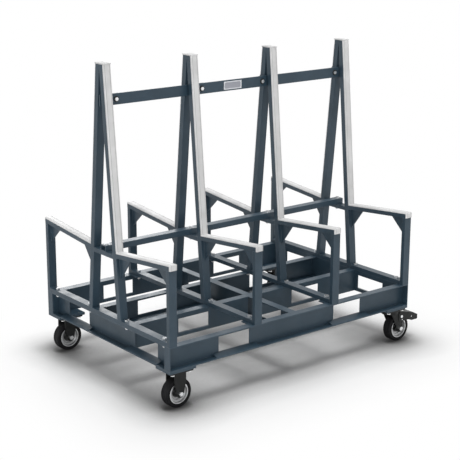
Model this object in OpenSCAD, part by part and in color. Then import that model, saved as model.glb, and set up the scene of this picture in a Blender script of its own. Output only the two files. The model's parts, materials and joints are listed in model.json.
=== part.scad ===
// Sheet goods cart: a four-caster base frame with fork pockets and four A-shaped racks.
// X runs along the cart, the front long side faces -Y, Z is up from the floor.

/* [Base frame] */
// Length of the base along X
base_len = 1450; // [1350:10:1650]
// Width of the base along Y
base_wid = 1000; // [960:10:1150]
// Height of the base channels
chan_h = 110; // [106:1:125]
// Width of the channel flanges
chan_flange = 40; // [37:1:44]
// Thickness of the channel webs and flanges
chan_wall = 4; // [3:0.5:5]
// Distance from the middle to the backs of the two inner long channels
inner_y = 165; // [160:1:172]
// Thickness of the corner pads between the frame and the casters
corner_t = 12; // [8:1:16]
// Length of a corner pad along X
corner_l = 140; // [132:1:160]
// Width of a corner pad along Y
corner_w = 105; // [103:1:120]
// Thickness of the lugs inside the long channels
lug_t = 5; // [4:0.5:8]
// Length of a lug along X
lug_l = 60; // [40:1:80]
// Depth of a lug along Y
lug_w = 45; // [38:1:55]

/* [Fork pockets] */
// Width of a fork window
fork_w = 175; // [150:1:180]
// Height of a fork window
fork_h = 70; // [60:1:76]
// Height of a window's sill above the frame's underside
fork_sill = 17; // [13:1:20]
// Distance from the middle of the cart to the middle of a side window
fork_x = 345; // [345:1:380]
// Distance from the back of an inner channel to the end window beside it
end_fork_in = 22.5; // [18:0.5:28]
// Distance from an end window to the long side of the base
end_fork_out = 137.5; // [136:0.5:145]
// Length of a lead-in plate past each side of its window
ramp_side = 35; // [20:1:38]
// Thickness of the lead-in plates, measured upright
ramp_t = 4; // [3:0.5:6]

/* [Racks] */
// Height of the cart over the rack caps
height = 1455; // [1300:5:1700]
// Distance from the middle of the cart to the middle of an inner rack
rack_in_x = 235; // [200:1:236]
// Width of the rack tubes along X
tube_w = 40; // [34:1:44]
// Thickness of the rails, posts and arms
tube_t = 20; // [16:1:25]
// Thickness of the slanted legs, measured level
leg_t = 27; // [24:1:28]
// Wall of the rack tubes
tube_wall = 2.5; // [2:0.25:3.5]
// Distance from the middle to a leg's outer face at its foot
leg_foot_y = 130; // [115:1:132]
// Part of a leg's thickness that is cut off where the two legs meet
leg_mitre = 1; // [0.5:0.1:1.5]
// Height above the base at which the tops of the two arms would meet in the middle
arm_rise = 316; // [250:1:380]
// Thickness of the gussets
gusset_t = 5; // [4:0.5:8]
// Length of a leg gusset along the arm
leg_gusset_l = 90; // [60:1:110]
// Height of a leg gusset down the leg
leg_gusset_h = 98; // [60:1:110]
// Length of a post gusset along the arm
post_gusset_l = 90; // [45:1:95]
// Height of a post gusset down the post
post_gusset_h = 91; // [45:1:95]
// Thickness of the facing strips on legs and arms
facing_t = 7; // [5:0.5:10]
// Thickness of the rack caps
cap_t = 5; // [3:0.5:8]

/* [Ties] */
// Distance from the top of the cart down to the middle of the upper tie bar
tie_down = 164; // [120:1:300]
// Height of the upper tie bar's face
tie_h = 50; // [40:1:60]
// Thickness of the upper tie bar
tie_t = 6; // [4:0.5:8]
// Thickness of the brackets that hold the upper tie bar
tab_t = 5; // [4:0.5:6]
// Distance from a left rack's middle to its tie bolt
left_tab_x = 64; // [55:1:80]
// Distance from a right rack's middle to its tie bolt
right_tab_x = 44; // [42:1:60]
// Distance from a tie bolt to the end of its bracket
tab_end = 16; // [12:1:20]
// Width of the lower tie tube
low_tie_w = 40; // [30:1:50]
// Height of the lower tie tube
low_tie_h = 27; // [25:1:40]

/* [Fasteners] */
// Diameter of the rail bolts
rail_bolt_d = 12; // [10:0.5:14]
// Distance from the back of an inner channel to its rail bolts
rail_bolt_in = 15; // [14:1:20]
// Diameter of the tie bolts
tie_bolt_d = 10; // [8:0.5:12]
// Diameter of the caster bolts
caster_bolt_d = 10; // [8:0.5:11]
// Gap around a bolt in its hole
bolt_play = 0.2; // [0.1:0.05:0.3]

/* [Casters] */
// Diameter of the wheels
wheel_d = 135; // [125:1:138]
// Height of a caster's plate top above its wheel
over_wheel = 41; // [38:1:55]
// Width of the tyres
tyre_w = 46; // [40:1:50]
// Thickness of the tyres
tyre_t = 18; // [14:0.5:20]
// Radius of the tyre's shoulders
shoulder_r = 7; // [4:0.5:7]
// Length of a wheel's hub
hub_l = 58; // [54:1:60]
// Diameter of a wheel's hub
hub_d = 40; // [34:1:44]
// Thickness of a wheel's web
web_t = 10; // [6:0.5:14]
// Thickness of a wheel's rim
rim_t = 5; // [4:0.5:8]
// Diameter of the axle bolts
axle_d = 12; // [10:0.5:14]
// Distance from the end of the base to the middle of a caster plate
caster_in_x = 70; // [67:1:74]
// Distance from the long side of the base to the middle of a caster plate
caster_in_y = 52; // [51:1:55]
// Length of a caster plate
plate_l = 115; // [110:1:120]
// Width of a caster plate
plate_w = 100; // [94:1:102]
// Thickness of a caster plate
plate_t = 7; // [5:0.5:9]
// Spacing of the plate's bolts along X
plate_px = 90; // [86:1:94]
// Spacing of the plate's bolts along Y
plate_py = 75; // [72:1:78]
// Thickness of the fork cheeks
cheek_t = 4; // [3:0.5:6]
// Width of a rigid fork's cheek at the plate
cheek_top_w = 61; // [54:1:66]
// Height of the straight part of a rigid fork's cheek
cheek_straight = 50; // [35:1:60]
// Radius of the fork's eye around the axle
eye_r = 18; // [15:1:21]
// Distance of a swivel caster's axle behind its kingpin
trail = 46; // [42:1:50]
// Radius of the swivel head
head_r = 43; // [38:1:45]
// Height of the fixed race under the plate
race_h = 11; // [9:1:13]
// Thickness of the turning crown of the fork
crown_t = 7; // [5:0.5:9]
// Diameter of the kingpin
kingpin_d = 14; // [12:0.5:18]
// Radial gap between a pin and its bore
pin_play = 0.05; // [0.02:0.01:0.08]
// Play of a wheel's hub between the cheeks
side_play = 0.2; // [0.1:0.05:0.3]

/* [Brake pedals] */
// Distance of the pedal's pin behind the kingpin
pedal_x = 48; // [47:1:52]
// Height of the pedal's pin above the axle
pedal_z = 63; // [60:1:64]
// Diameter of the pedal's pin
pedal_pin_d = 8; // [6:0.5:9]
// Length of the pedal from its pin to its tip
pedal_l = 114; // [106:1:120]
// Reach of the pedal's cheeks in front of its pin
pedal_back = 18; // [15:0.5:19]
// Drop of the top of the pedal's tip below its pin
pedal_drop = 9; // [6:1:12]
// Height of the pedal's cheeks at the fork
pedal_h = 54; // [48:1:55]
// Height of the pedal's cheeks at the tip
pedal_tip_h = 26; // [22:1:28]
// Radius of the corners of the pedal's tip
pedal_round = 5; // [4:0.5:8]
// Thickness of the pedal's sheet
pedal_t = 3; // [2:0.5:4]
// Gap between the brake shoe and the tyre while the pedal is up
shoe_gap = 8; // [8:0.1:9.5]
// Height of the brake shoe
shoe_h = 14; // [10:1:18]
// Length of the brake shoe along the tyre
shoe_l = 18; // [12:1:22]

/* [Hidden] */
$fn = 64;

steel = "#434d57";
caster_black = "#2a2b2d";
facing_grey = "#d4d5d4";
zinc = "#c6cace";
rubber = "#1c1d1f";
rim_grey = "#b4b8bc";

// Overrun of every cut
cut = pin_play * 10;
// Hexagon radius, head height and nut height as shares of a bolt's diameter
hex_share = 0.9;
head_share = 0.65;
nut_share = 0.8;
// Part of the pedal's height above its pin, and places of its bends along its length
pedal_up_share = 0.53;
tread_share = 0.12;
bend_share = 0.72;
neck_share = 0.42;
foot_share = 0.66;
// Front edge of a swivel fork's cheek as a share of the head's radius
cheek_front_share = 0.3;
// Size of the step between a wheel's web and its rim as a share of the space there
step_share = 0.45;

half_l = base_len / 2;
half_w = base_wid / 2;
caster_h = wheel_d + over_wheel;
frame_z = caster_h + corner_t;
deck_z = frame_z + chan_h;
long_web_y = half_w - chan_flange;
end_fork_w = half_w - end_fork_out - inner_y - end_fork_in;
fork_y = inner_y + end_fork_in + end_fork_w / 2;
end_web_x = half_l - chan_flange;
sill_z = frame_z + fork_sill;
rack_xs = [-half_l + tube_w / 2, -rack_in_x, rack_in_x, half_l - tube_w / 2];

rail_top_z = deck_z + tube_t;
leg_top_z = height - cap_t;
leg_top_y = leg_t - leg_mitre;
slope = (leg_foot_y - leg_top_y) / (leg_top_z - rail_top_z);
slant = sqrt(1 + slope * slope);
arm_mid_z = deck_z + arm_rise;
corner_y = (leg_foot_y - slope * (arm_mid_z - rail_top_z)) / (slant * slant);

outer_bolt_y = long_web_y - lug_w / 2;
inner_bolt_y = inner_y - rail_bolt_in;
low_tie_z = arm_mid_z;
tie_z = height - tie_down;

caster_x = half_l - caster_in_x;
caster_y = half_w - caster_in_y;
plate_z = caster_h - plate_t;
wheel_r = wheel_d / 2;
rim_r = wheel_r - tyre_t;
cheek_in = hub_l / 2 + side_play;
cheek_out = cheek_in + cheek_t;
crown_z = plate_z - race_h - crown_t;
pin_z = wheel_r + pedal_z;
pedal_in = cheek_out + side_play;
pedal_out = pedal_in + pedal_t;
pedal_up = pedal_h * pedal_up_share;
pedal_low = pedal_h - pedal_up;
pedal_tip_z = -pedal_drop - pedal_tip_h;
pedal_bend_z = pedal_up / 5;

// Outer face of a leg, and the inner face, at height z
function leg_out(z) = leg_foot_y - slope * (z - rail_top_z);
function leg_in(z) = leg_out(z) - leg_t;
// Top of an arm at distance y from the middle
function arm_top(y) = arm_mid_z + slope * y;
// Point on a rack, u along the arm and v along the leg from the corner where they meet
function rack_pt(u, v) = [corner_y + (u - slope * v) / slant, arm_top(corner_y) + (slope * u + v) / slant];

// Slab with the given outline in Y and Z, from x0 over width w
module yz_slab(x0, w, pts) {
    translate([x0, 0, 0]) rotate([90, 0, 90]) linear_extrude(w) polygon(pts);
}

// Slab with a 2-D child drawn in X and Z, from y0 over width w
module xz_slab(y0, w) {
    translate([0, y0 + w, 0]) rotate([90, 0, 0]) linear_extrude(w) children();
}

// The child and its mirror image across the middle plane Y = 0
module both_y() {
    children();
    mirror([0, 1, 0]) children();
}

// Hexagon bolt along Z: its head stands on z = 0, its nut hangs under z = -grip
module hex_bolt(d, grip) {
    cylinder(r = d * hex_share, h = d * head_share, $fn = 6);
    translate([0, 0, -grip - d * (nut_share + hex_share / 3)])
        cylinder(d = d, h = grip + d * (nut_share + hex_share / 3));
    translate([0, 0, -grip - d * nut_share])
        cylinder(r = d * hex_share, h = d * nut_share, $fn = 6);
}

// Channel along X from x0 to x1, the back of its web at y = -back, opening toward -Y
module channel_x(x0, x1, back) {
    difference() {
        translate([x0, -back - chan_flange, frame_z]) cube([x1 - x0, chan_flange, chan_h]);
        translate([x0 - cut, -back - chan_flange - cut, frame_z + chan_wall])
            cube([x1 - x0 + 2 * cut, chan_flange - chan_wall + cut, chan_h - 2 * chan_wall]);
    }
}

// Channel along Y between the long channels, the back of its web at x = back, opening toward -X
module channel_y(back) {
    difference() {
        translate([back - chan_flange, -long_web_y, frame_z]) cube([chan_flange, 2 * long_web_y, chan_h]);
        translate([back - chan_flange - cut, -long_web_y - cut, frame_z + chan_wall])
            cube([chan_flange - chan_wall + cut, 2 * (long_web_y + cut), chan_h - 2 * chan_wall]);
    }
}

// Fork windows through a long channel whose web lies between y0 and y1
module windows_x(y0, y1) {
    for (sx = [-1, 1])
        translate([sx * fork_x - fork_w / 2, y0 - cut, sill_z]) cube([fork_w, y1 - y0 + 2 * cut, fork_h]);
}

// Fork windows through a cross channel whose web lies between x0 and x1
module windows_y(x0, x1) {
    for (sy = [-1, 1])
        translate([x0 - cut, sy * fork_y - end_fork_w / 2, sill_z])
            cube([x1 - x0 + 2 * cut, end_fork_w, fork_h]);
}

// Holes of the four caster bolt patterns, from the plates up through the corner pads
module caster_holes() {
    for (cx = [-1, 1], cy = [-1, 1], ix = [-1, 1], iy = [-1, 1])
        translate([cx * (caster_x + ix * plate_px / 2), cy * (caster_y + iy * plate_py / 2), plate_z - cut])
            cylinder(r = caster_bolt_d / 2 + bolt_play, h = frame_z - plate_z + 2 * cut);
}

// Holes of the rail bolts, from the lugs and upper flanges up through the lower rails
module rail_holes() {
    for (x = rack_xs, sy = [-1, 1], y = [inner_bolt_y, outer_bolt_y])
        translate([x, sy * y, deck_z - chan_wall - lug_t - cut])
            cylinder(r = rail_bolt_d / 2 + bolt_play, h = chan_wall + lug_t + tube_t + 2 * cut);
}

module front_channel() {
    color(steel) difference() {
        channel_x(-half_l + chan_wall, half_l - chan_wall, long_web_y);
        windows_x(-long_web_y - chan_wall, -long_web_y);
    }
}

module back_channel() {
    color(steel) mirror([0, 1, 0]) front_channel();
}

module right_end_channel() {
    color(steel) difference() {
        translate([2 * end_web_x, 0, 0]) mirror([1, 0, 0]) channel_y(end_web_x);
        windows_y(end_web_x, end_web_x + chan_wall);
        rail_holes();
    }
}

module left_end_channel() {
    color(steel) mirror([1, 0, 0]) right_end_channel();
}

module mid_cross_channel() {
    color(steel) difference() {
        channel_y(chan_flange / 2);
        windows_y(chan_flange / 2 - chan_wall, chan_flange / 2);
    }
}

module rear_inner_channel() {
    color(steel) difference() {
        for (x = [[-end_web_x, -chan_flange / 2], [chan_flange / 2, end_web_x]])
            channel_x(x[0], x[1], -inner_y);
        windows_x(inner_y - chan_wall, inner_y);
        rail_holes();
    }
}

module front_inner_channel() {
    color(steel) mirror([0, 1, 0]) rear_inner_channel();
}

// Plates that close the ends of the long channels
module channel_end_plates() {
    color(steel) for (sx = [-1, 1]) both_y()
        translate([sx * (half_l - chan_wall / 2) - chan_wall / 2, -half_w, frame_z])
            cube([chan_wall, chan_flange, chan_h]);
}

// Sloping lead-in plate of a window whose web face is at distance web from the edge's origin
module ramp(len) {
    depth = chan_flange - chan_wall;
    rise = fork_sill - chan_wall;
    rotate([90, 0, 90]) translate([0, 0, -len / 2]) linear_extrude(len)
        polygon([[0, rise], [0, rise - ramp_t], [depth - depth * ramp_t / rise, 0], [depth, 0]]);
}

module fork_ramps() {
    color(steel) both_y() for (sx = [-1, 1]) {
        translate([sx * fork_x, long_web_y + chan_wall, frame_z + chan_wall]) ramp(fork_w + 2 * ramp_side);
        translate([sx * (end_web_x + chan_wall), fork_y, frame_z + chan_wall])
            rotate([0, 0, -sx * 90]) ramp(end_fork_w + 2 * ramp_side);
    }
}

// Lugs under the inner racks' rails, inside the long channels
module rail_lugs() {
    color(steel) difference() {
        both_y() for (sx = [-1, 1])
            translate([sx * rack_in_x - lug_l / 2, long_web_y - lug_w, deck_z - lug_t])
                cube([lug_l, lug_w, lug_t]);
        rail_holes();
    }
}

module corner_pads() {
    color(steel) difference() {
        both_y() for (sx = [-1, 1])
            translate([sx * (half_l - corner_l / 2) - corner_l / 2, half_w - corner_w, caster_h])
                cube([corner_l, corner_w, corner_t]);
        caster_holes();
    }
}

module lower_rail(k) {
    color(steel) difference() {
        translate([rack_xs[k] - tube_w / 2, -half_w + tube_t, deck_z])
            cube([tube_w, base_wid - 2 * tube_t, tube_t]);
        translate([rack_xs[k] - tube_w / 2 + tube_wall, -half_w + tube_t - cut, deck_z + tube_wall])
            cube([tube_w - 2 * tube_wall, base_wid - 2 * tube_t + 2 * cut, tube_t - 2 * tube_wall]);
        rail_holes();
    }
}

// One post, closed above by the arm; inset thins the outline for the tube's bore
module post_body(k, inset, over) {
    y0 = half_w - tube_t + inset;
    y1 = half_w - inset;
    yz_slab(rack_xs[k] - tube_w / 2 + inset, tube_w - 2 * inset, [[y0, deck_z - over], [y1, deck_z - over],
        [y1, arm_top(y1) - tube_t * slant + over], [y0, arm_top(y0) - tube_t * slant + over]]);
}

module posts(k) {
    color(steel) both_y() difference() {
        post_body(k, 0, 0);
        post_body(k, tube_wall, cut);
    }
}

// One slanted leg; inset thins the outline for the tube's bore
module leg_body(k, inset, over) {
    z0 = rail_top_z - over;
    z1 = leg_top_z + over;
    yz_slab(rack_xs[k] - tube_w / 2 + inset, tube_w - 2 * inset, [[leg_in(z0) + inset, z0],
        [leg_out(z0) - inset, z0], [leg_out(z1) - inset, z1], [leg_in(z1) + inset, z1]]);
}

module a_legs(k) {
    color(steel) both_y() difference() {
        leg_body(k, 0, 0);
        leg_body(k, tube_wall, cut);
        translate([rack_xs[k] - tube_w / 2 - cut, -leg_t, rail_top_z])
            cube([tube_w + 2 * cut, leg_t, height]);
    }
}

// One arm from the leg to the outer face of the post; inset thins it for the tube's bore
module arm_body(k, inset, over) {
    y1 = half_w + over;
    yz_slab(rack_xs[k] - tube_w / 2 + inset, tube_w - 2 * inset, [rack_pt(-over, -inset),
        rack_pt(-over, inset - tube_t), [y1, arm_top(y1) - (tube_t - inset) * slant],
        [y1, arm_top(y1) - inset * slant]]);
}

// Crosspiece between the two legs
module crosspiece_body(k, inset, over) {
    z0 = arm_mid_z - tube_t + inset;
    z1 = arm_mid_z - inset;
    yz_slab(rack_xs[k] - tube_w / 2 + inset, tube_w - 2 * inset, [[-leg_in(z0) - over, z0],
        [leg_in(z0) + over, z0], [leg_in(z1) + over, z1], [-leg_in(z1) - over, z1]]);
}

module arms(k) {
    color(steel) {
        both_y() difference() {
            arm_body(k, 0, 0);
            arm_body(k, tube_wall, cut);
        }
        difference() {
            crosspiece_body(k, 0, 0);
            crosspiece_body(k, tube_wall, cut);
            low_tie_holes();
        }
    }
}

// Hard facing strips, each along the outer face of a leg and the top and end of its arm
module facings(k) {
    x0 = rack_xs[k] - tube_w / 2;
    y1 = half_w + facing_t;
    color(facing_grey) both_y() {
        yz_slab(x0, tube_w, [rack_pt(0, facing_t), rack_pt(facing_t, facing_t),
            [leg_out(leg_top_z) + facing_t * slant, leg_top_z], [leg_out(leg_top_z), leg_top_z]]);
        yz_slab(x0, tube_w, [rack_pt(0, 0), [half_w, arm_top(half_w)],
            [half_w, arm_top(half_w) - tube_t * slant], [y1, arm_top(half_w) - tube_t * slant],
            [y1, arm_top(y1) + facing_t * slant], rack_pt(0, facing_t)]);
    }
}

module leg_gussets() {
    color(steel) both_y() for (x = rack_xs)
        yz_slab(x - gusset_t / 2, gusset_t, [rack_pt(0, -tube_t), rack_pt(0, -tube_t - leg_gusset_h),
            rack_pt(leg_gusset_l, -tube_t)]);
}

module post_gussets() {
    y1 = half_w - tube_t;
    y0 = y1 - post_gusset_l / slant;
    z1 = arm_top(y1) - tube_t * slant;
    color(steel) both_y() for (x = rack_xs)
        yz_slab(x - gusset_t / 2, gusset_t, [[y1, z1], [y0, arm_top(y0) - tube_t * slant],
            [y1, z1 - post_gusset_h]]);
}

// Cap over the two legs and facings of each rack
module top_caps() {
    reach = leg_top_y + facing_t * slant;
    color(facing_grey) for (x = rack_xs)
        translate([x - tube_w / 2, -reach, leg_top_z]) cube([tube_w, 2 * reach, cap_t]);
}

// Places of the upper tie's bolts and the side of the rack on which each bracket sits
function tie_bolt_x(k) = k < 2 ? rack_xs[k] + left_tab_x : rack_xs[k] - right_tab_x;
function tie_side(k) = k < 2 ? 1 : -1;

module tie_holes() {
    for (k = [0 : 3])
        translate([tie_bolt_x(k), -tie_t - tab_t, tie_z]) rotate([-90, 0, 0])
            cylinder(r = tie_bolt_d / 2 + bolt_play, h = 2 * (tie_t + tab_t));
}

module upper_tie_bar() {
    color(steel) difference() {
        translate([-half_l, -tie_t / 2, tie_z - tie_h / 2]) cube([base_len, tie_t, tie_h]);
        tie_holes();
    }
}

// Angle brackets welded to the rear legs, one leaf behind the upper tie bar
module tie_brackets() {
    leaf = leg_out(tie_z + tie_h / 2) - tie_t / 2;
    color(steel) difference() {
        for (k = [0 : 3]) {
            len = abs(tie_bolt_x(k) - rack_xs[k]) - tube_w / 2 + tab_end;
            translate([rack_xs[k], 0, tie_z - tie_h / 2]) mirror([tie_side(k) > 0 ? 0 : 1, 0, 0]) {
                translate([tube_w / 2, tie_t / 2, 0]) cube([len, tab_t, tie_h]);
                translate([tube_w / 2, tie_t / 2, 0]) cube([tab_t, leaf, tie_h]);
            }
        }
        tie_holes();
    }
}

module low_tie_holes() {
    for (x = rack_xs)
        translate([x, 0, low_tie_z - tube_t - cut])
            cylinder(r = tie_bolt_d / 2 + bolt_play, h = tube_t + low_tie_h + 2 * cut);
}

module lower_tie_tube() {
    color(steel) difference() {
        translate([-half_l, -low_tie_w / 2, low_tie_z]) cube([base_len, low_tie_w, low_tie_h]);
        translate([-half_l - cut, -low_tie_w / 2 + tube_wall, low_tie_z + tube_wall])
            cube([base_len + 2 * cut, low_tie_w - 2 * tube_wall, low_tie_h - 2 * tube_wall]);
        low_tie_holes();
    }
}

// Bolts through the lower rails; the inner racks' outer ones pass the thicker lugs
module rail_bolts() {
    color(zinc) for (k = [0 : 3]) both_y() {
        translate([rack_xs[k], inner_bolt_y, rail_top_z]) hex_bolt(rail_bolt_d, tube_t + chan_wall);
        translate([rack_xs[k], outer_bolt_y, rail_top_z])
            hex_bolt(rail_bolt_d, tube_t + (k == 1 || k == 2 ? lug_t : chan_wall));
    }
}

module tie_bolts() {
    color(zinc) for (k = [0 : 3]) {
        translate([rack_xs[k], 0, low_tie_z + low_tie_h]) hex_bolt(tie_bolt_d, low_tie_h + tube_t);
        translate([tie_bolt_x(k), -tie_t / 2, tie_z]) rotate([90, 0, 0]) hex_bolt(tie_bolt_d, tie_t + tab_t);
    }
}

// Bolts up through the caster plates into the corner pads
module caster_bolts() {
    color(zinc) for (cx = [-1, 1], cy = [-1, 1], ix = [-1, 1], iy = [-1, 1])
        translate([cx * (caster_x + ix * plate_px / 2), cy * (caster_y + iy * plate_py / 2), plate_z])
            mirror([0, 0, 1]) {
                cylinder(r = caster_bolt_d * hex_share, h = caster_bolt_d * head_share, $fn = 6);
                mirror([0, 0, 1]) cylinder(d = caster_bolt_d, h = frame_z - plate_z);
            }
}

// Caster plate without its place on the cart
module plate_body() {
    difference() {
        translate([-plate_l / 2, -plate_w / 2, plate_z]) cube([plate_l, plate_w, plate_t]);
        for (ix = [-1, 1], iy = [-1, 1])
            translate([ix * plate_px / 2, iy * plate_py / 2, plate_z - cut])
                cylinder(r = caster_bolt_d / 2 + bolt_play, h = plate_t + 2 * cut);
    }
}

// Bolt along Y that carries a wheel, with its head and nut against the cheeks
module axle_bolt() {
    translate([0, -cheek_out, wheel_r]) rotate([90, 0, 0]) hex_bolt(axle_d, 2 * cheek_out);
}

module rigid_cheek() {
    difference() {
        union() {
            polygon([[-cheek_top_w / 2, plate_z + plate_t / 2], [-cheek_top_w / 2, plate_z - cheek_straight],
                [-eye_r, wheel_r], [eye_r, wheel_r],
                [cheek_top_w / 2, plate_z - cheek_straight], [cheek_top_w / 2, plate_z + plate_t / 2]]);
            translate([0, wheel_r]) circle(r = eye_r);
        }
        translate([0, wheel_r]) circle(r = axle_d / 2 + pin_play);
    }
}

module rigid_fork(side) {
    color(caster_black) translate([-caster_x, side * caster_y, 0]) {
        plate_body();
        both_y() xz_slab(cheek_in, cheek_t) rigid_cheek();
    }
}

module rigid_axles() {
    color(zinc) for (side = [-1, 1])
        translate([-caster_x, side * caster_y, 0]) axle_bolt();
}

module swivel_plates() {
    color(caster_black) for (side = [-1, 1])
        translate([caster_x, side * caster_y, 0]) difference() {
            union() {
                plate_body();
                translate([0, 0, plate_z - race_h]) cylinder(r = head_r, h = race_h);
            }
            translate([0, 0, plate_z - race_h - cut])
                cylinder(r = kingpin_d / 2 + pin_play, h = race_h + plate_t + 2 * cut);
        }
}

// Kingpin held by the plate; its head hangs under the crown
module kingpins() {
    color(zinc) for (side = [-1, 1])
        translate([caster_x, side * caster_y, 0]) {
            translate([0, 0, crown_z]) cylinder(d = kingpin_d, h = caster_h - crown_z);
            translate([0, 0, crown_z - kingpin_d * head_share])
                cylinder(r = kingpin_d * hex_share, h = kingpin_d * head_share, $fn = 6);
        }
}

// Cheek of a swivel fork, slanted back to the axle and widened for the pedal's pin
module swivel_cheek() {
    difference() {
        union() {
            polygon([[-head_r * cheek_front_share, crown_z + crown_t / 2],
                [-head_r * cheek_front_share, crown_z - crown_t],
                [trail - eye_r, wheel_r], [trail + eye_r, wheel_r],
                [pedal_x + pedal_pin_d * 1.4, pin_z - pedal_pin_d],
                [pedal_x + pedal_pin_d * 1.4, pin_z + pedal_pin_d],
                [pedal_x, crown_z + crown_t / 2]]);
            translate([trail, wheel_r]) circle(r = eye_r);
        }
        translate([trail, wheel_r]) circle(r = axle_d / 2 + pin_play);
        translate([pedal_x, pin_z]) circle(r = pedal_pin_d / 2 + pin_play);
    }
}

module swivel_fork(side) {
    color(caster_black) translate([caster_x, side * caster_y, 0]) difference() {
        union() {
            translate([0, 0, crown_z]) linear_extrude(crown_t) {
                circle(r = head_r);
                translate([0, -cheek_out]) square([pedal_x, 2 * cheek_out]);
            }
            both_y() xz_slab(cheek_in, cheek_t) swivel_cheek();
        }
        translate([0, 0, crown_z - cut]) cylinder(r = kingpin_d / 2 + pin_play, h = crown_t + 2 * cut);
    }
}

// The wheel's axle bolt and the pedal's two pins, one in each cheek of the fork
module swivel_pins(side) {
    color(zinc) translate([caster_x, side * caster_y, 0]) {
        translate([trail, 0, 0]) axle_bolt();
        both_y() translate([pedal_x, 0, pin_z]) rotate([-90, 0, 0]) {
            translate([0, 0, cheek_in]) cylinder(d = pedal_pin_d, h = pedal_out + side_play - cheek_in);
            translate([0, 0, pedal_out + side_play]) cylinder(r = pedal_pin_d * hex_share, h = pedal_t);
        }
    }
}

// Side outline of the brake pedal, with its pin at the origin
module pedal_outline() {
    difference() {
        union() {
            polygon([[-pedal_back, pedal_back / 2], [-pedal_back / 2, pedal_up],
                [pedal_l * bend_share, pedal_bend_z], [pedal_l - pedal_round, -pedal_drop],
                [pedal_l, -pedal_drop - pedal_round], [pedal_l, pedal_tip_z + pedal_round],
                [pedal_l - pedal_round, pedal_tip_z], [pedal_l * foot_share, pedal_tip_z],
                [pedal_l * neck_share, -pedal_low], [-pedal_back / 2, -pedal_low],
                [-pedal_back, -pedal_low / 2]]);
            for (z = [-pedal_drop - pedal_round, pedal_tip_z + pedal_round])
                translate([pedal_l - pedal_round, z]) circle(r = pedal_round);
        }
        circle(r = pedal_pin_d / 2 + pin_play);
    }
}

// Top plate of the pedal, over both cheeks
module pedal_tread() {
    x0 = pedal_l * tread_share;
    x1 = pedal_l * bend_share;
    x2 = pedal_l - pedal_round;
    z0 = pedal_up - (pedal_up - pedal_bend_z) * (x0 + pedal_back / 2) / (x1 + pedal_back / 2);
    polygon([[x0, z0], [x1, pedal_bend_z], [x2, -pedal_drop], [x2, -pedal_drop - pedal_t],
        [x1, pedal_bend_z - pedal_t], [x0, z0 - pedal_t]]);
}

// Block that presses on the tyre, set square to it
module brake_shoe() {
    translate([trail - pedal_x, -pedal_z]) rotate(atan2(pedal_z, trail))
        translate([wheel_r + shoe_gap, -shoe_l / 2]) square([shoe_h, shoe_l]);
}

module brake_pedal(side) {
    color(caster_black) translate([caster_x + pedal_x, side * caster_y, pin_z]) {
        both_y() xz_slab(pedal_in, pedal_t) pedal_outline();
        xz_slab(-pedal_out, 2 * pedal_out) pedal_tread();
        xz_slab(-pedal_out, 2 * pedal_out) brake_shoe();
    }
}

// Wheel body: a hub, a web, a step and a rim turned about Y
module wheel(x, side) {
    bore = axle_d / 2 + pin_play;
    rim_w = tyre_w - tyre_t / 5;
    rim_in = rim_r - rim_t;
    step_r = hub_d / 2 + (rim_in - hub_d / 2) * step_share;
    step_w = web_t + (rim_w - web_t) * step_share;
    color(rim_grey) translate([x, side * caster_y, wheel_r]) rotate([90, 0, 0]) rotate_extrude()
        polygon([[bore, -hub_l / 2], [hub_d / 2, -hub_l / 2], [hub_d / 2, -web_t / 2],
            [step_r, -web_t / 2], [step_r, -step_w / 2], [rim_in, -step_w / 2],
            [rim_in, -rim_w / 2], [rim_r, -rim_w / 2], [rim_r, rim_w / 2], [rim_in, rim_w / 2],
            [rim_in, step_w / 2], [step_r, step_w / 2], [step_r, web_t / 2],
            [hub_d / 2, web_t / 2], [hub_d / 2, hub_l / 2], [bore, hub_l / 2]]);
}

// Tyre with round shoulders, pressed on the rim
module tyre(x, side) {
    color(rubber) translate([x, side * caster_y, wheel_r]) rotate([90, 0, 0]) rotate_extrude() {
        translate([rim_r, -tyre_w / 2]) square([tyre_t - shoulder_r, tyre_w]);
        translate([rim_r, -tyre_w / 2 + shoulder_r]) square([tyre_t, tyre_w - 2 * shoulder_r]);
        for (s = [-1, 1])
            translate([wheel_r - shoulder_r, s * (tyre_w / 2 - shoulder_r)]) circle(r = shoulder_r);
    }
}

front_channel();
back_channel();
left_end_channel();
right_end_channel();
front_inner_channel();
rear_inner_channel();
mid_cross_channel();
channel_end_plates();
fork_ramps();
rail_lugs();
corner_pads();
for (k = [0 : 3]) {
    lower_rail(k);
    posts(k);
    a_legs(k);
    arms(k);
    facings(k);
}
leg_gussets();
post_gussets();
top_caps();
upper_tie_bar();
tie_brackets();
lower_tie_tube();
rail_bolts();
tie_bolts();
caster_bolts();
rigid_axles();
swivel_plates();
kingpins();
for (s = [["front", -1], ["back", 1]]) {
    rigid_fork(s[1]);
    swivel_fork(s[1]);
    swivel_pins(s[1]);
    brake_pedal(s[1]);
    wheel(-caster_x, s[1]);
    wheel(caster_x + trail, s[1]);
    tyre(-caster_x, s[1]);
    tyre(caster_x + trail, s[1]);
}
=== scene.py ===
"""Looks, light and camera of the sheet goods cart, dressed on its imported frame."""
import json
import math
from itertools import combinations

import bmesh
import bpy
from mathutils import Matrix, Quaternion, Vector


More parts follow.
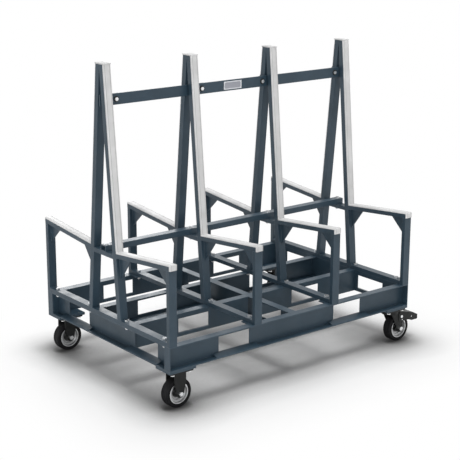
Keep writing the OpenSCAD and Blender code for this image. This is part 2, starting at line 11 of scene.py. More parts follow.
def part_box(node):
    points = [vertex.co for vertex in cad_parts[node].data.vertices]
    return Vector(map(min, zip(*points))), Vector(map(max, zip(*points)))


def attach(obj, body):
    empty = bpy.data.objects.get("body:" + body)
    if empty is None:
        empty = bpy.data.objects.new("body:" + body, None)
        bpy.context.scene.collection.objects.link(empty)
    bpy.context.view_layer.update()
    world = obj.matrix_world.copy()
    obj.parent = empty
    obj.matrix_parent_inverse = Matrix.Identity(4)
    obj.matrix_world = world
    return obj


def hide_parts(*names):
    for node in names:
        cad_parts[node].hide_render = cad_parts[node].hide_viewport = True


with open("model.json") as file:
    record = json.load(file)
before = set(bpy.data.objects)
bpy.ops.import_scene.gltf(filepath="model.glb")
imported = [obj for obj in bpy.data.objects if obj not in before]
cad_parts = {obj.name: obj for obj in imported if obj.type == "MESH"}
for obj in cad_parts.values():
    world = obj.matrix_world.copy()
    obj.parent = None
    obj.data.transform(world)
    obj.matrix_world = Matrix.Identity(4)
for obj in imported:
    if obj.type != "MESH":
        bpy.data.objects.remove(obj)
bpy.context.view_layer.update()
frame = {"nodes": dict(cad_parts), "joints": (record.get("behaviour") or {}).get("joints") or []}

# Camera, in metres, in the cart's frame
CAMERA_AT = (-3.69315, -4.62195, 2.21929)
CAMERA_AIM = (0.0, 0.0, 0.5884)
CAMERA_ROLL = math.radians(0.2)
LENS_MM = 99.71
SENSOR_MM = 36.0

# Light: strengths are for a white surface square to the light
FILL_WORLD = 0.28
WHITE = 1.0
KEY_FROM = (-0.04, -0.20, 1.0)
KEY_STRENGTH = 0.65 * math.pi
KEY_SPREAD = math.radians(22)
FRONT_FROM = (-0.70, -0.78, 0.22)
FRONT_STRENGTH = 0.39 * math.pi
FRONT_SPREAD = math.radians(36)
BACK_FROM = (0.62, 0.78, 1.10)
BACK_STRENGTH = 0.13 * math.pi
BACK_SPREAD = math.radians(44)
# Panel behind the cart, whose sheen lies on the tops at the left end
PANEL_AT = (0.9, 2.8, 1.45)
PANEL_AIM = (-0.5, 0.0, 0.35)
PANEL_SIZE = (1.5, 1.0)
PANEL_WATTS = 22.0
FLOOR_REACH = 60.0
FLOOR_SIDES = 64
FLOOR_COLOUR = (0.81, 0.81, 0.81, 1)
# Share of that colour in the floor's darker patches
FLOOR_MOTTLE = 0.985
# Floor shade under the base and at the wheels: reach, how fast it deepens, and the deepest grey
FLOOR_SHADES = ((0.29, 3.2, 0.03), (0.035, 3.0, 0.005))
SHADE_SAMPLES = 16
# Half size of the cart's base, the floor's share of its colour under it and the distances from
# it over which that shade ends, and those over which the floor turns white
BASE_HALF = (0.725, 0.5, 0.0)
BASE_SHADE = 0.70
BASE_EDGE = (-0.02, 0.10)
FLOOR_FADE = (-0.05, 0.55)

# Colours, linear
STEEL_LOW = (0.020, 0.041, 0.060, 1)
STEEL_HIGH = (0.029, 0.054, 0.078, 1)
# Paler steel on the edges: worn paint, and a painted highlight along every edge
STEEL_EDGE_WEAR_AND_HIGHLIGHT = (0.100, 0.135, 0.170, 1)
FACING_LOW = (0.57, 0.57, 0.57, 1)
FACING_HIGH = (0.67, 0.67, 0.67, 1)
FACING_SCUFF = (0.42, 0.42, 0.42, 1)
# Painted shade along the facing's grooves
FACING_GROOVE_SHADE = (0.36, 0.36, 0.36, 1)
# Grooves along each strip: their distance from its middle and half the width of the painted shade in them,
# in shares of the strip's width
GROOVE_ASIDE = 0.31
GROOVE_SHADE_HALF = 0.014
BLACK_LOW = (0.006, 0.007, 0.007, 1)
BLACK_HIGH = (0.011, 0.012, 0.012, 1)
BLACK_WORN = (0.085, 0.088, 0.092, 1)
ZINC_LOW = (0.72, 0.73, 0.74, 1)
ZINC_HIGH = (0.88, 0.89, 0.90, 1)
# Darker zinc on the faces that look up
ZINC_UPWARD_DARK = (0.13, 0.14, 0.15, 1)
RIM_LOW = (0.78, 0.79, 0.80, 1)
RIM_HIGH = (0.93, 0.94, 0.95, 1)
# Partly the turned metal's own tones, partly painted shade in the grooves and recess and painted
# highlights on the step and lip
# Grey of the wheel body at shares of its width from the axle: hub, groove, web, step, recess, lip
RIM_TONES_SHADE_HIGHLIGHT = ((0.0, 0.10), (0.20, 0.12), (0.215, 0.04), (0.245, 0.30), (0.30, 0.85), (0.318, 0.25),
             (0.335, 0.60), (0.42, 0.82), (0.448, 0.15), (0.456, 1.0))
# How fast the turned rings follow each other, in radians over the width of the wheel body
RIM_RINGS = 420.0
RUBBER_LOW = (0.006, 0.006, 0.007, 1)
RUBBER_HIGH = (0.012, 0.012, 0.013, 1)
# How fast the rings on the tread follow each other, in radians a metre
TREAD_RINGS = 2600.0
PLATE_LOW = (0.62, 0.64, 0.67, 1)
PLATE_HIGH = (0.72, 0.74, 0.77, 1)
# Plain darker field of the plate, its half width and height in shares of the plate, and how far
# its edge is blurred
FIELD_LOW = (0.24, 0.25, 0.30, 1)
FIELD_HIGH = (0.38, 0.39, 0.42, 1)
PLATE_FIELD = (0.45, 0.38)
PLATE_BLUR = 0.01
# Noise values between which a mottled colour goes from low to high
MOTTLE_SPAN = (0.35, 0.65)
# Cosines between the rounded normal and the face's own that count as an edge and as flat
EDGE_COSINES = (0.80, 0.995)
BEVEL_SAMPLES = 6

# Slots of the record
STEEL, FACING, ZINC, RIM, TYRE, CASTER = "steel", "facing", "zinc", "rim", "tyre", "caster"
CART = "cart"


class Look:
    """A node material: a principled shader on its output, and short ways to add nodes."""

    def __init__(self, name, metallic=0.0, specular=0.5):
        self.mat = bpy.data.materials.new(name)
        self.mat.use_nodes = True
        self.tree = self.mat.node_tree
        self.tree.nodes.clear()
        self.out = self.add("ShaderNodeOutputMaterial")
        self.bsdf = self.add("ShaderNodeBsdfPrincipled",
                             {"Metallic": metallic, "Specular IOR Level": specular})
        self.link(self.bsdf.outputs["BSDF"], self.out.inputs["Surface"])
        self.place = self.add("ShaderNodeTexCoord").outputs

    def add(self, kind, values=None, **props):
        made = self.tree.nodes.new(kind)
        for key, value in props.items():
            setattr(made, key, value)
        for key, value in (values or {}).items():
            made.inputs[key].default_value = value
        return made

    def link(self, source, target):
        self.tree.links.new(source, target)

    def feed(self, socket, value):
        """Sets a socket to a constant, or links another node's output to it."""
        if isinstance(value, (int, float, tuple)):
            socket.default_value = value
        else:
            self.link(value, socket)

    def noise(self, scale, detail=3.0, rough=0.5, stretch=None):
        """Noise of the given scale, in cells a metre; stretch squeezes it along each axis."""
        made = self.add("ShaderNodeTexNoise", {"Scale": scale, "Detail": detail, "Roughness": rough})
        source = self.place["Object"]
        if stretch:
            mapping = self.add("ShaderNodeMapping", {"Scale": stretch})
            self.link(source, mapping.inputs["Vector"])
            source = mapping.outputs["Vector"]
        self.link(source, made.inputs["Vector"])
        return made.outputs["Fac"]

    def ramp(self, fac, stops):
        """Colour of fac along the stops, each a position and a colour."""
        made = self.add("ShaderNodeValToRGB")
        marks = made.color_ramp.elements
        while len(marks) < len(stops):
            marks.new(1.0)
        for mark, (position, colour) in zip(marks, stops):
            mark.position, mark.color = position, colour
        self.link(fac, made.inputs["Fac"])
        return made.outputs["Color"]

    def blend(self, fac, low, high):
        """Mottled colour between low and high, from a noise."""
        return self.ramp(fac, ((MOTTLE_SPAN[0], low), (MOTTLE_SPAN[1], high)))

    def span(self, fac, low, high, start=0.3, end=0.7):
        """A number from low to high as fac goes from start to end."""
        made = self.add("ShaderNodeMapRange", {1: start, 2: end, 3: low, 4: high})
        self.link(fac, made.inputs["Value"])
        return made.outputs["Result"]

    def math(self, operation, a, b=0.0):
        made = self.add("ShaderNodeMath", operation=operation)
        self.feed(made.inputs[0], a)
        self.feed(made.inputs[1], b)
        return made.outputs["Value"]

    def mix(self, fac, a, b, blend_type="MIX"):
        """Colour a where fac is 0, and a blended with b where it is 1."""
        made = self.add("ShaderNodeMix", data_type="RGBA", blend_type=blend_type)
        for index, value in ((0, fac), (6, a), (7, b)):
            self.feed(made.inputs[index], value)
        return made.outputs[2]

    def shade(self, a, b):
        """Colour a darkened by colour b."""
        return self.mix(1.0, a, b, "MULTIPLY")

    def split(self, vector):
        """The x, y and z of a vector."""
        made = self.add("ShaderNodeSeparateXYZ")
        self.link(vector, made.inputs["Vector"])
        return made.outputs

    def bevel(self, radius):
        """Normal with its edges rounded by radius."""
        return self.add("ShaderNodeBevel", {"Radius": radius}, samples=BEVEL_SAMPLES).outputs["Normal"]

    def edge(self, rounded):
        """1 on the edges that the rounded normal rounds, 0 on flat faces."""
        face = self.add("ShaderNodeNewGeometry").outputs["Normal"]
        dot = self.add("ShaderNodeVectorMath", operation="DOT_PRODUCT")
        self.link(rounded, dot.inputs[0])
        self.link(face, dot.inputs[1])
        return self.span(dot.outputs["Value"], 1.0, 0.0, *EDGE_COSINES)

    def bump(self, height, distance, strength, normal):
        made = self.add("ShaderNodeBump", {"Strength": strength, "Distance": distance})
        self.link(height, made.inputs["Height"])
        self.link(normal, made.inputs["Normal"])
        return made.outputs["Normal"]

    def finish(self, colour, roughness, normal):
        self.link(colour, self.bsdf.inputs["Base Color"])
        self.link(roughness, self.bsdf.inputs["Roughness"])
        self.link(normal, self.bsdf.inputs["Normal"])
        return self.mat


def painted_steel():
    """Slate blue powder coat with a fine orange peel, and paler edges: partly worn paint, partly a painted
    highlight along every edge.
    """
    look = Look("steel_powder_coat", specular=0.43)
    normal = look.bevel(radius=0.0026)
    patches = look.noise(scale=38.0, detail=6.0, rough=0.7)
    # Every edge is painted at least a little paler as a painted highlight, and more in the noise's
    # patches, where the paint is worn
    paler_edges = look.math("MULTIPLY", look.edge(normal), look.span(patches, 0.15, 0.85, start=0.40, end=0.62))
    colour = look.blend(look.noise(scale=6.0, detail=5.0, rough=0.6), STEEL_LOW, STEEL_HIGH)
    colour = look.mix(paler_edges, colour, STEEL_EDGE_WEAR_AND_HIGHLIGHT)
    rough = look.span(look.noise(scale=14.0, detail=6.0, rough=0.65), 0.34, 0.50)
    peel = look.bump(look.noise(scale=420.0, detail=2.0), distance=0.0004, strength=0.35, normal=normal)
    return look.finish(colour, rough, peel)


def hard_facing():
    """Pale grey hard plastic strip with faint lengthwise scuffs and painted shade in its grooves."""
    look = Look("facing_plastic", specular=0.18)
    normal = look.bevel(radius=0.0014)
    streaks = look.noise(scale=30.0, detail=4.0, rough=0.6, stretch=(6.0, 0.5, 0.5))
    colour = look.blend(look.noise(scale=9.0, detail=4.0), FACING_LOW, FACING_HIGH)
    colour = look.mix(look.span(streaks, 0.0, 0.22, start=0.58, end=0.80), colour, FACING_SCUFF)
    # Painted shade in two narrow bands along the strip, where its grooves are
    across = look.math("SUBTRACT", look.split(look.place["Generated"])["X"], 0.5)
    aside = look.math("SUBTRACT", look.math("ABSOLUTE", across), GROOVE_ASIDE)
    unshaded = look.span(look.math("ABSOLUTE", aside), 0.0, 1.0, start=GROOVE_SHADE_HALF, end=2 * GROOVE_SHADE_HALF)
    colour = look.mix(unshaded, FACING_GROOVE_SHADE, colour)
    rough = look.span(look.noise(scale=40.0, detail=5.0, rough=0.6), 0.40, 0.58)
    grain = look.bump(look.noise(scale=650.0, detail=2.0), distance=0.0003, strength=0.25, normal=normal)
    return look.finish(colour, rough, grain)


def black_paint():
    """Black paint on pressed caster steel, worn along its edges."""
    look = Look("caster_black", specular=0.24)
    normal = look.bevel(radius=0.0012)
    patches = look.noise(scale=90.0, detail=6.0, rough=0.7)
    paler_edges = look.math("MULTIPLY", look.edge(normal), look.span(patches, 0.0, 0.8, start=0.46, end=0.66))
    colour = look.blend(look.noise(scale=22.0, detail=5.0), BLACK_LOW, BLACK_HIGH)
    colour = look.mix(paler_edges, colour, BLACK_WORN)
    rough = look.span(look.noise(scale=60.0, detail=5.0, rough=0.6), 0.34, 0.52)
    peel = look.bump(look.noise(scale=520.0, detail=2.0), distance=0.0003, strength=0.4, normal=normal)
    return look.finish(colour, rough, peel)


def zinc_plate():
    """Bright zinc on bolts, pins and nuts, darker on the faces that look up."""
    look = Look("zinc_bright", metallic=1.0)
    normal = look.bevel(radius=0.0007)
    upward = look.split(look.add("ShaderNodeNewGeometry").outputs["Normal"])["Z"]
    colour = look.blend(look.noise(scale=150.0, detail=5.0, rough=0.6), ZINC_LOW, ZINC_HIGH)
    # Darker where the face looks up
    colour = look.mix(look.span(upward, 0.0, 0.9, start=0.5, end=0.9), colour, ZINC_UPWARD_DARK)
    rough = look.span(look.noise(scale=260.0, detail=4.0), 0.22, 0.42)
    grain = look.bump(look.noise(scale=900.0, detail=2.0), distance=0.0002, strength=0.3, normal=normal)
    return look.finish(colour, rough, grain)


def turned_rim():
    """Cast wheel body, turned in fine rings about its axle, partly in its own tones, with painted shade in
    its grooves and recess and painted highlights on its step and lip.
    """
    look = Look("rim_turned", metallic=1.0)
    normal = look.bevel(radius=0.0010)
    centred = look.add("ShaderNodeMapping", {"Location": (-0.5, -0.5, -0.5)})
    look.link(look.place["Generated"], centred.inputs["Vector"])
    place = look.split(centred.outputs["Vector"])
    squares = [look.math("POWER", look.math("ABSOLUTE", place[axis]), 2.0) for axis in "XZ"]
    radius = look.math("SQRT", look.math("ADD", *squares))
    cast = look.blend(look.noise(scale=70.0, detail=5.0, rough=0.6), RIM_LOW, RIM_HIGH)
    # Painted shade and highlights in rings round the axle, with the metal's own tones
    tone_shade_highlight = look.ramp(radius, [(reach, (grey, grey, grey, 1)) for reach, grey in RIM_TONES_SHADE_HIGHLIGHT])
    rough = look.span(look.noise(scale=120.0, detail=4.0), 0.28, 0.46)
    rings = look.math("SINE", look.math("MULTIPLY", radius, RIM_RINGS))
    turned = look.bump(rings, distance=0.00005, strength=0.5, normal=normal)
    grain = look.bump(look.noise(scale=700.0, detail=2.0), distance=0.0002, strength=0.25, normal=turned)
    return look.finish(look.shade(cast, tone_shade_highlight), rough, grain)


def rubber():
    """Black rubber tyre with faint rings round its tread."""
    look = Look("tyre_rubber", specular=0.12)
    normal = look.bevel(radius=0.0012)
    colour = look.blend(look.noise(scale=45.0, detail=5.0, rough=0.6), RUBBER_LOW, RUBBER_HIGH)
    rough = look.span(look.noise(scale=80.0, detail=4.0), 0.55, 0.75)
    rings = look.math("SINE", look.math("MULTIPLY", look.split(look.place["Object"])["Y"], TREAD_RINGS))
    tread = look.bump(rings, distance=0.00018, strength=0.5, normal=normal)
    grain = look.bump(look.noise(scale=600.0, detail=3.0), distance=0.0003, strength=0.35, normal=tread)
    return look.finish(colour, rough, grain)


def bare_plate():
    """Blank printed-sheet plate: a pale border round a plain field."""
    look = Look("plate_sheet")
    normal = look.bevel(radius=0.0004)
    place = look.split(look.place["Generated"])
    aside = [look.math("ABSOLUTE", look.math("SUBTRACT", place[axis], 0.5)) for axis in "XZ"]
    inner = [look.span(reach, 1.0, 0.0, start=half - PLATE_BLUR, end=half)
             for reach, half in zip(aside, PLATE_FIELD)]
    colour = look.blend(look.noise(scale=35.0), PLATE_LOW, PLATE_HIGH)
    field = look.mix(look.noise(scale=240.0, detail=4.0, rough=0.7), FIELD_LOW, FIELD_HIGH)
    colour = look.mix(look.math("MULTIPLY", *inner), colour, field)
    rough = look.span(look.noise(scale=90.0, detail=4.0), 0.30, 0.42)
    grain = look.bump(look.noise(scale=800.0, detail=2.0), distance=0.0001, strength=0.2, normal=normal)
    return look.finish(colour, rough, grain)


def seen_rays(tree):
    """1 for the rays that see the background: camera, glossy and transmission rays."""
    path = tree.nodes.new("ShaderNodeLightPath")
    total = path.outputs["Is Camera Ray"]
    for ray in ("Is Glossy Ray", "Is Transmission Ray"):
        plus = tree.nodes.new("ShaderNodeMath")
        plus.operation = "ADD"
        plus.use_clamp = True
        tree.links.new(total, plus.inputs[0])
        tree.links.new(path.outputs[ray], plus.inputs[1])
        total = plus.outputs["Value"]
    return total


def distance_from_base(look):
    """Distance of a floor point from the cart's base, 0 under it."""
    outside = look.place["Object"]
    for operation, value in (("ABSOLUTE", None), ("SUBTRACT", BASE_HALF), ("MAXIMUM", (0, 0, 0))):
        step = look.add("ShaderNodeVectorMath", operation=operation)
        look.link(outside, step.inputs[0])
        if value:
            step.inputs[1].default_value = value
        outside = step.outputs["Vector"]
    length = look.add("ShaderNodeVectorMath", operation="LENGTH")
    look.link(outside, length.inputs[0])
    return length.outputs["Value"]


def floor_look():
    """Pale floor, shaded under the cart, that brightens to plain white away from it."""
    look = Look("floor_pale")
    away = distance_from_base(look)
    mottled = tuple(FLOOR_MOTTLE * value for value in FLOOR_COLOUR[:3]) + (1,)
    colour = look.blend(look.noise(scale=2.0), mottled, FLOOR_COLOUR)
    colour = look.shade(colour, look.span(away, BASE_SHADE, 1.0, *BASE_EDGE))
    for reach, power, deep in FLOOR_SHADES:
        near = look.add("ShaderNodeAmbientOcclusion", {"Distance": reach}, samples=SHADE_SAMPLES)
        colour = look.mix(look.math("POWER", near.outputs["AO"], power), (deep, deep, deep, 1), colour)
    rough = look.span(look.noise(scale=5.0), 0.80, 0.90)
    look.link(colour, look.bsdf.inputs["Base Color"])
    look.link(rough, look.bsdf.inputs["Roughness"])
    far = look.add("ShaderNodeMapRange", {1: FLOOR_FADE[0], 2: FLOOR_FADE[1]},
                   interpolation_type="SMOOTHSTEP")
    look.link(away, far.inputs["Value"])
    glow = look.add("ShaderNodeEmission", {"Strength": WHITE})
    both = look.add("ShaderNodeMixShader")
    look.link(look.math("MULTIPLY", far.outputs["Result"], seen_rays(look.tree)), both.inputs["Fac"])
    look.link(look.bsdf.outputs["BSDF"], both.inputs[1])
    look.link(glow.outputs["Emission"], both.inputs[2])
    look.link(both.outputs["Shader"], look.out.inputs["Surface"])
    return look.mat


def slot_of(node):
    """The record's slot of a CAD node."""
    if node.startswith("wheel_"):
        return RIM
    if node.startswith("tyre_"):
        return TYRE
    if node.startswith(("facings", "top_caps")):
        return FACING
    if node.startswith(("rigid_fork", "swivel_fork", "swivel_plates", "brake_pedal")):
        return CASTER
    if "bolts" in node or node.startswith(("rigid_axles", "kingpins", "swivel_pins")):
        return ZINC
    return STEEL


def dress_frame(looks):
    """Gives every CAD node the look of its slot."""
    for name, obj in frame["nodes"].items():
        for slot in obj.material_slots:
            slot.material = looks[slot_of(name)]
        if not obj.material_slots:
            obj.data.materials.append(looks[slot_of(name)])


def new_piece(name, mesh, look, body):
    """A scene piece from a bmesh, riding on a CAD body."""
    data = bpy.data.meshes.new(name)
    mesh.to_mesh(data)
    mesh.free()
    data.materials.append(look)
    obj = bpy.data.objects.new(name, data)
    bpy.context.scene.collection.objects.link(obj)
    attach(obj, body)
    return obj


def make_world():
    """White behind the cart and in its gloss, and a grey fill on everything matt."""
    world = bpy.data.worlds.new("studio")
    bpy.context.scene.world = world
    world.use_nodes = True
    tree = world.node_tree
    tree.nodes.clear()
    out = tree.nodes.new("ShaderNodeOutputWorld")
    mix = tree.nodes.new("ShaderNodeMixShader")
    tree.links.new(seen_rays(tree), mix.inputs["Fac"])
    for index, strength in ((1, FILL_WORLD), (2, WHITE)):
        back = tree.nodes.new("ShaderNodeBackground")
        back.inputs["Color"].default_value = (1, 1, 1, 1)
        back.inputs["Strength"].default_value = strength
        tree.links.new(back.outputs["Background"], mix.inputs[index])
    tree.links.new(mix.outputs["Shader"], out.inputs["Surface"])


def make_sun(name, source, strength, spread):
    """Soft sun that shines from the direction of source."""
    data = bpy.data.lights.new(name, "SUN")
    data.energy = strength
    data.angle = spread
    lamp = bpy.data.objects.new(name, data)
    lamp.rotation_euler = Vector(source).to_track_quat("Z", "Y").to_euler()
    bpy.context.scene.collection.objects.link(lamp)


def make_panel():
    """Soft panel that only its light and its sheen show."""
    data = bpy.data.lights.new("panel", "AREA")
    data.shape = "RECTANGLE"
    data.size, data.size_y = PANEL_SIZE
    data.energy = PANEL_WATTS
    panel = bpy.data.objects.new("panel", data)
    panel.location = PANEL_AT
    panel.rotation_euler = (Vector(PANEL_AT) - Vector(PANEL_AIM)).to_track_quat("Z", "Y").to_euler()
    panel.visible_camera = False
    bpy.context.scene.collection.objects.link(panel)


def make_floor():
    """Wide round floor under the cart."""
    mesh = bmesh.new()
    bmesh.ops.create_circle(mesh, cap_ends=True, segments=FLOOR_SIDES, radius=FLOOR_REACH)
    data = bpy.data.meshes.new("floor")
    mesh.to_mesh(data)
    mesh.free()
    data.materials.append(floor_look())
    floor = bpy.data.objects.new("floor", data)
    bpy.context.scene.collection.objects.link(floor)


def make_camera():
    """The photo's camera."""
    data = bpy.data.cameras.new("camera")
    data.lens = LENS_MM
    data.sensor_width = SENSOR_MM
    data.clip_end = 2 * FLOOR_REACH
    camera = bpy.data.objects.new("camera", data)
    camera.location = CAMERA_AT
    aim = Vector(CAMERA_AIM) - Vector(CAMERA_AT)
    turn = aim.to_track_quat("-Z", "Y") @ Quaternion((0, 0, 1), CAMERA_ROLL)
    camera.rotation_euler = turn.to_euler()
    bpy.context.scene.collection.objects.link(camera)
    bpy.context.scene.camera = camera


# Blank plate on the front face of the upper tie, with rivets in its corners
PLATE_X = (-0.042, 0.063)
PLATE_H = 0.038
PLATE_T = 0.0012
PLATE_ROUND = PLATE_T / 3
RIVET_IN = 0.006
RIVET_R = 0.0022
RIVET_H = RIVET_R / 2
# Radius and segments of the facing strips' outer edges
FACING_ROUND = 0.0065
FACING_SEGMENTS = 4
# Their grooves: width, width of each sloping wall, depth, and length and upward lean of the
# faces that have them
GROOVE_W = 0.0022
GROOVE_WALL = 0.0005
GROOVE_D = 0.0008
GROOVE_LEAST = 0.1
GROOVE_LEAN = 0.05
# Washers under the tie bolts' heads
WASHER_IN = 0.007
WASHER_OUT = 0.0135
WASHER_T = 0.0016
WASHER_SIDES = 28
# Rivets of the pedals, (x, z) from the hinge
PEDAL_RIVETS = ((0.0066, -0.018), (0.071, -0.0136))
PEDAL_RIVET_R = 0.0032
PEDAL_RIVET_H = PEDAL_RIVET_R / 3
# Heights of a round head's rings, as angles above its base
DOME_TILTS = (0, 25, 50, 70, 84)
# Weld beads: radius, length of a step, share by which they ripple, steps in a ripple and in a
# tapered end, and fewest steps
BEAD_R = 0.0026
BEAD_STEP = 0.0014
BEAD_RIPPLE = 0.14
BEAD_PERIOD = 3
BEAD_LEAST = 6
BEAD_SIDES = 8
# Normals of the facing strips: least x of an end face, least outward share of an outer face,
# and greatest cosine between the faces at an edge that gets rounded
END_NORMAL = 0.9
OUTER_NORMAL = 0.3
SHARP_COSINE = 0.5
# Points nearer than this are one point, faces at less than this angle one face
SAME_POINT = 1e-5
SAME_PLANE = math.radians(1)


def rounded_box(low, high, round_by, segments=2):
    """A bmesh of a box from low to high with rounded edges."""
    low, high = Vector(low), Vector(high)
    mesh = bmesh.new()
    place = Matrix.Translation((low + high) / 2) @ Matrix.Diagonal(high - low).to_4x4()
    bmesh.ops.create_cube(mesh, size=1.0, matrix=place)
    bmesh.ops.bevel(mesh, geom=mesh.edges[:], offset=round_by, segments=segments, affect="EDGES",
                    profile=0.5)
    return mesh


def turned(mesh, centre, axis, profile, ring=False, sides=16):
    """Body turned about the axis through centre, from points (radius, height); ring joins its ends."""
    turn = Vector(axis).to_track_quat("Z", "Y").to_matrix().to_4x4()
    place = Matrix.Translation(Vector(centre)) @ turn
    angles = [2 * math.pi * side / sides for side in range(sides)]
    rows = [[mesh.verts.new(place @ Vector((radius * math.cos(a), radius * math.sin(a), height)))
             for a in angles] for radius, height in profile]
    for low, high in zip(rows, rows[1:] + rows[:1] if ring else rows[1:]):
        for i in range(sides):
            j = (i + 1) % sides
            mesh.faces.new((low[i], low[j], high[j], high[i])).smooth = not ring
    if not ring:
        mesh.faces.new(list(reversed(rows[0])))
        mesh.faces.new(rows[-1])


def dome(mesh, centre, axis, radius, height):
    """Low round head that stands on centre along axis."""
    tilts = [math.radians(tilt) for tilt in DOME_TILTS]
    turned(mesh, centre, axis, [(radius * math.cos(t), height * math.sin(t)) for t in tilts])


def washer(mesh, centre, axis):
    """Washer that stands on centre along axis, its outer edge broken."""
    rim = WASHER_T / 4
    turned(mesh, centre, axis, [(WASHER_IN, 0), (WASHER_OUT, 0), (WASHER_OUT, WASHER_T - rim),
                                (WASHER_OUT - rim, WASHER_T), (WASHER_IN, WASHER_T)],
           ring=True, sides=WASHER_SIDES)


def bead(mesh, start, end):
    """Rippled weld bead along the line from start to end."""
    along = Vector(end) - Vector(start)
    steps = max(BEAD_LEAST, round(along.length / BEAD_STEP))
    profile = []
    for i in range(steps + 1):
        taper = min(1.0, (min(i, steps - i) + 1) / BEAD_PERIOD)
        ripple = 1 + BEAD_RIPPLE * math.sin(2 * math.pi * i / BEAD_PERIOD)
        profile.append((BEAD_R * taper * ripple, along.length * i / steps))
    turned(mesh, start, along, profile, sides=BEAD_SIDES)


def solids_of(node):
    """Sorted corner points of each separate solid of a CAD node."""
    mesh = bmesh.new()
    mesh.from_mesh(frame["nodes"][node].data)
    bmesh.ops.remove_doubles(mesh, verts=mesh.verts, dist=SAME_POINT)
    left = set(mesh.verts)
    solids = []
    while left:
        reached = [left.pop()]
        solid = []
        while reached:
            vert = reached.pop()
            solid.append(tuple(round(value, 5) for value in vert.co))
            near = {edge.other_vert(vert) for edge in vert.link_edges} & left
            left -= near
            reached += near
        solids.append(sorted(solid))
    mesh.free()
    return sorted(solids)


def box_of(points):
    """Lowest and highest corner of a list of points."""
    return (Vector([min(point[i] for point in points) for i in range(3)]),
            Vector([max(point[i] for point in points) for i in range(3)]))


def make_washers(looks):
    """Washers under the heads of the tie bolts: black in front, zinc on the lower tie's top."""
    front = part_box("upper_tie_bar")[0].y
    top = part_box("lower_tie_tube")[1].z
    dark, bright = bmesh.new(), bmesh.new()
    for solid in solids_of("tie_bolts"):
        low, high = box_of(solid)
        middle = (low + high) / 2
        if low.z > top:
            washer(dark, (middle.x, front, middle.z), (0, -1, 0))
        else:
            washer(bright, (middle.x, middle.y, top), (0, 0, 1))
    new_piece("upper_tie_washers", dark, looks[CASTER], CART)
    new_piece("lower_tie_washers", bright, looks[ZINC], CART)


def make_pedal_rivets(looks):
    """Rivets on both cheeks of each brake pedal, placed from its hinge."""
    pins = {joint["child"]: Vector(joint["pos_m"]) for joint in frame["joints"]}
    for end in ("front", "back"):
        pin = pins["pedal_" + end]
        low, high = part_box("brake_pedal_" + end)
        mesh = bmesh.new()
        for x, z in PEDAL_RIVETS:
            dome(mesh, (pin.x + x, low.y, pin.z + z), (0, -1, 0), PEDAL_RIVET_R, PEDAL_RIVET_H)
            dome(mesh, (pin.x + x, high.y, pin.z + z), (0, 1, 0), PEDAL_RIVET_R, PEDAL_RIVET_H)
        new_piece("pedal_rivets_" + end, mesh, looks[ZINC], "pedal_" + end)


def weld_gussets(mesh, node):
    """Beads on both sides of each gusset, along its two edges that meet steel."""
    for solid in solids_of(node):
        low, high = box_of(solid)
        for x in (low.x, high.x):
            corners = [Vector(point) for point in solid if abs(point[0] - x) < SAME_POINT]
            edges = sorted(combinations(corners, 2), key=lambda edge: (edge[0] - edge[1]).length)
            for start, end in edges[:2]:
                bead(mesh, start, end)


def weld_racks(mesh, rack):
    """Beads where a rack's posts meet its rail, and round its legs' feet."""
    rail_low, rail_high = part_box("lower_rail_" + rack)
    leg_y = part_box("a_legs_" + rack)[1].y
    leg_t = rail_high.z - rail_low.z
    for side in (-1, 1):
        for y in (rail_high.y, leg_y, leg_y - leg_t):
            bead(mesh, (rail_low.x + BEAD_R, side * y, rail_high.z),
                 (rail_high.x - BEAD_R, side * y, rail_high.z))


def make_welds(looks):
    """One piece of all the weld beads."""
    mesh = bmesh.new()
    for node in ("leg_gussets", "post_gussets"):
        weld_gussets(mesh, node)
    for rack in "1234":
        weld_racks(mesh, rack)
    new_piece("weld_beads", mesh, looks[STEEL], CART)


def outer_edge(edge, round_below):
    """True for a lengthwise outer edge, or an outer corner, of a facing strip."""
    if len(edge.link_faces) != 2:
        return False
    middle = (edge.verts[0].co + edge.verts[1].co) / 2
    side = 1 if middle.y > 0 else -1
    normals = [face.normal for face in edge.link_faces]
    ends = [abs(normal.x) > END_NORMAL for normal in normals]
    outward = [max(normal.z, normal.y * side) > OUTER_NORMAL for normal in normals]
    if middle.z > round_below or all(ends):
        return False
    if any(ends):
        return outward[ends.index(False)]
    return all(outward) and edge.is_convex and normals[0].dot(normals[1]) < SHARP_COSINE


def groove_facing(mesh):
    """Cuts two shallow grooves along the long outer faces of a facing strip."""
    low, high = box_of([vert.co for vert in mesh.verts])
    for side in (-1, 1):
        middle = (low.x + high.x) / 2 + side * GROOVE_ASIDE * (high.x - low.x)
        for x in (middle - GROOVE_W / 2, middle + GROOVE_W / 2):
            bmesh.ops.bisect_plane(mesh, geom=[*mesh.verts, *mesh.edges, *mesh.faces],
                                   plane_co=(x, 0, 0), plane_no=(1, 0, 0), dist=SAME_POINT)
        band = [face for face in mesh.faces if abs(face.calc_center_median().x - middle) < SAME_POINT
                and face.calc_area() > GROOVE_LEAST * GROOVE_W and face.normal.z > GROOVE_LEAN]
        bmesh.ops.inset_region(mesh, faces=band, thickness=GROOVE_WALL, depth=-GROOVE_D,
                               use_boundary=True, use_even_offset=True)


def put_in_order(mesh):
    """Sorts points, edges and faces by place, because the bevel's own order varies between runs."""
    def place(part):
        return sorted(tuple(vert.co) for vert in getattr(part, "verts", (part,)))

    for parts in (mesh.verts, mesh.edges, mesh.faces):
        rank = {part: number for number, part in enumerate(sorted(parts, key=place))}
        parts.sort(key=rank.get)


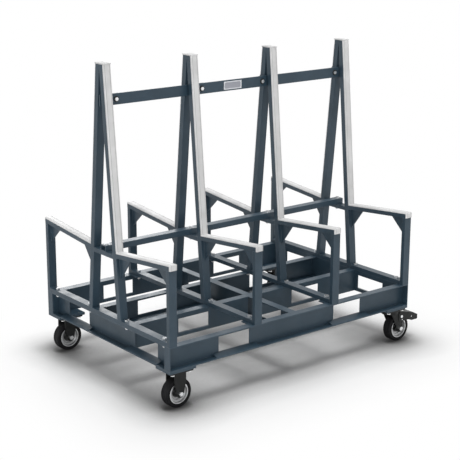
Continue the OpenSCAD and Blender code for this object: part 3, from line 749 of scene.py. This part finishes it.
def round_facings(looks):
    """Facing strips with rounded outer edges and grooves, on the CAD strips' own outlines."""
    for name, obj in list(frame["nodes"].items()):
        if not name.startswith("facings"):
            continue
        mesh = bmesh.new()
        mesh.from_mesh(obj.data)
        bmesh.ops.remove_doubles(mesh, verts=mesh.verts, dist=SAME_POINT)
        bmesh.ops.dissolve_limit(mesh, angle_limit=SAME_PLANE, verts=mesh.verts, edges=mesh.edges)
        top = max(vert.co.z for vert in mesh.verts)
        edges = [edge for edge in mesh.edges if outer_edge(edge, top - FACING_ROUND)]
        bmesh.ops.bevel(mesh, geom=edges, offset=FACING_ROUND, segments=FACING_SEGMENTS,
                        affect="EDGES", profile=0.5)
        groove_facing(mesh)
        put_in_order(mesh)
        piece = new_piece(name + "_rounded", mesh, looks[FACING], CART)
        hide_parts(name)


def make_plate(looks):
    """Blank plate and its four rivets on the upper tie."""
    low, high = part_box("upper_tie_bar")
    middle = (low.z + high.z) / 2
    front = low.y
    plate = rounded_box((PLATE_X[0], front - PLATE_T, middle - PLATE_H / 2),
                        (PLATE_X[1], front, middle + PLATE_H / 2), PLATE_ROUND)
    new_piece("tie_plate", plate, looks["plate"], CART)
    mesh = bmesh.new()
    for x in (PLATE_X[0] + RIVET_IN, PLATE_X[1] - RIVET_IN):
        for z in (middle - PLATE_H / 2 + RIVET_IN, middle + PLATE_H / 2 - RIVET_IN):
            dome(mesh, (x, front - PLATE_T, z), (0, -1, 0), RIVET_R, RIVET_H)
    new_piece("tie_plate_rivets", mesh, looks[ZINC], CART)


def build():
    """Camera, light, floor, looks and the scene's own pieces."""
    bpy.context.scene.view_settings.view_transform = "Standard"
    make_camera()
    make_world()
    make_sun("key", KEY_FROM, KEY_STRENGTH, KEY_SPREAD)
    make_sun("front", FRONT_FROM, FRONT_STRENGTH, FRONT_SPREAD)
    make_sun("back", BACK_FROM, BACK_STRENGTH, BACK_SPREAD)
    make_panel()
    make_floor()
    looks = {STEEL: painted_steel(), FACING: hard_facing(), ZINC: zinc_plate(), RIM: turned_rim(),
             TYRE: rubber(), CASTER: black_paint(), "plate": bare_plate()}
    dress_frame(looks)
    round_facings(looks)
    make_plate(looks)
    make_washers(looks)
    make_pedal_rivets(looks)
    make_welds(looks)


build()
